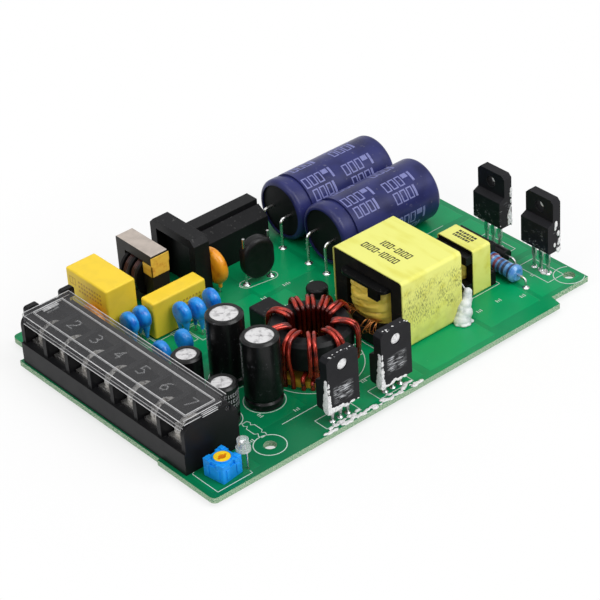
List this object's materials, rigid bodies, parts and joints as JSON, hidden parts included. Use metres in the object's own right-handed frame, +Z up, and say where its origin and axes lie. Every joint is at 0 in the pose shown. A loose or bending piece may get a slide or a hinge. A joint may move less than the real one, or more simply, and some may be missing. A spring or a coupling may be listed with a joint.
{
  "type": "open-frame switching power supply",
  "caption": "Open-frame switching power supply: circuit board with covered screw terminals, transformers, coils, capacitors and power transistors.",
  "frame": {"origin": "under the middle of the board, at the tips of the solder joints", "axes": "+X along the board away from the terminal block, +Y across the board to the side of the large capacitors, +Z up"},
  "size_m": [0.132, 0.092, 0.0266],
  "materials": {
    "laminate": "dark green lacquer over laminate",
    "solder": "bright solder",
    "black_moulding": "plain moulded black",
    "cover_plastic": "clear moulded plastic",
    "plated_steel": "plated, lightly brushed",
    "tinned_wire": "tinned",
    "blue_case": "moulded, half gloss",
    "yellow_rotor": "plain",
    "clear_lens": "clear, polished",
    "yellow_case": "half matt",
    "blue_coating": "dipped lacquer",
    "orange_coating": "dipped lacquer",
    "black_coating": "dipped lacquer",
    "pale_ferrite": "ground ferrite",
    "dark_ferrite": "ground ferrite",
    "brown_wire": "enamelled copper",
    "copper_wire": "enamelled copper",
    "yellow_tape": "smooth film",
    "navy_sleeve": "shrunk film",
    "black_sleeve": "shrunk film",
    "bare_aluminium": "drawn",
    "black_rubber": "plain",
    "yellow_base": "plain",
    "transistor_case": "moulded",
    "white_glue": "set glue"
  },
  "bodies": {
    "board_assembly": {"axial_wires": "tinned_wire", "bulk_bung_left": "black_rubber", "bulk_bung_near": "black_rubber", "bulk_capacitor_left": "navy_sleeve", "bulk_capacitor_near": "navy_sleeve", "bulk_wires": "tinned_wire", "capacitor_sleeves": "black_sleeve", "choke_bobbin": "black_moulding", "choke_core": "pale_ferrite", "choke_feet": "black_moulding", "choke_tape": "yellow_tape", "choke_winding_left": "brown_wire", "choke_winding_near": "brown_wire", "circuit_board": "laminate", "component_leads": "tinned_wire", "diode": "black_coating", "disc_capacitors": "blue_coating", "drum": "black_coating", "film_box": "black_moulding", "flat_film_capacitor": "yellow_case", "frame_moulding": "black_moulding", "glue_blob": "white_glue", "indicator_lens": "clear_lens", "litz_wires": "copper_wire", "orange_disc": "orange_coating", "pulse_bobbin": "black_moulding", "pulse_core": "dark_ferrite", "pulse_tape": "yellow_tape", "pulse_winding": "yellow_tape", "resistor": "blue_coating", "small_can_left": "bare_aluminium", "small_can_near": "bare_aluminium", "solder_joints": "solder", "tall_can_left": "bare_aluminium", "tall_can_near": "bare_aluminium", "tall_film_capacitor": "yellow_case", "terminal_clamps": "plated_steel", "terminal_contacts": "plated_steel", "terminal_housing": "black_moulding", "terminal_screws": "plated_steel", "thermistor": "black_coating", "thermistor_wires": "tinned_wire", "toroid_base": "yellow_base", "toroid_core": "dark_ferrite", "toroid_winding": "copper_wire", "transformer_bobbin": "black_moulding", "transformer_core_lower": "dark_ferrite", "transformer_core_upper": "dark_ferrite", "transformer_tape": "yellow_tape", "transformer_winding": "yellow_tape", "transistor_1": "transistor_case", "transistor_2": "transistor_case", "transistor_3": "transistor_case", "transistor_4": "transistor_case", "transistor_legs": "tinned_wire", "trimmer_body": "blue_case", "varistor": "orange_coating", "winding_pins": "tinned_wire"},
    "cover": {"terminal_cover": "cover_plastic"},
    "rotor": {"trimmer_rotor": "yellow_rotor"}
  },
  "joints": [
    {"name": "cover_hinge", "type": "hinge", "parent": "board_assembly", "child": "cover", "pos_m": [-0.0507, -0.00015, 0.0158], "axis": [0, 1, 0], "range_deg": [0, 100]},
    {"name": "trimmer_turn", "type": "hinge", "parent": "board_assembly", "child": "rotor", "pos_m": [-0.0577, -0.0395, 0.0076], "axis": [0, 0, 1], "range_deg": [-130, 130]}
  ]
}
